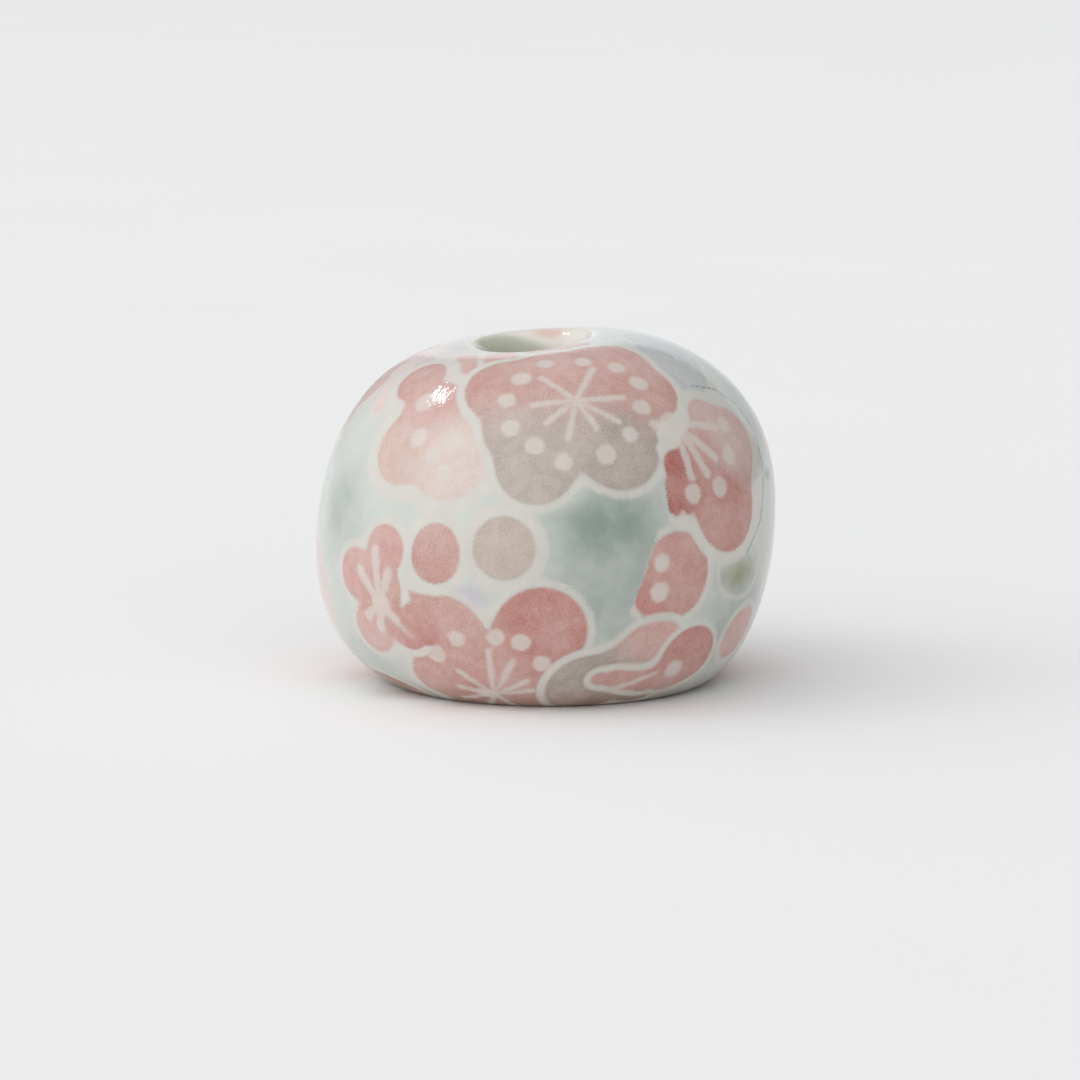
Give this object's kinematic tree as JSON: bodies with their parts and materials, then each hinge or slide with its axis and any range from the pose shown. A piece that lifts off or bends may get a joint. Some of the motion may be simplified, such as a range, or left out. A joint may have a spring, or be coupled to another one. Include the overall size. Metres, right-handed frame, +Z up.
{
  "type": "flower frog",
  "caption": "Squat hollow glazed porcelain pebble with a flared mouth in its crown that holds flower stems upright over a small water reservoir, standing on a flat foot.",
  "frame": {"origin": "middle of the object's outline, on the plane that the foot stands on", "axes": "+Z up out of the mouth; +X towards the side that the crown is highest on; -Y towards the viewer, the side with the large blossoms"},
  "size_m": [0.06, 0.06, 0.0455],
  "materials": {
    "porcelain": "bare fired porcelain, matte and slightly rough",
    "printed_glaze": "glossy clear glaze over a printed blossom pattern",
    "inside_glaze": "glossy pale celadon glaze"
  },
  "bodies": {
    "root": {"porcelain_body": "porcelain", "outer_glaze": "printed_glaze", "reservoir_glaze": "inside_glaze"}
  },
  "joints": []
}
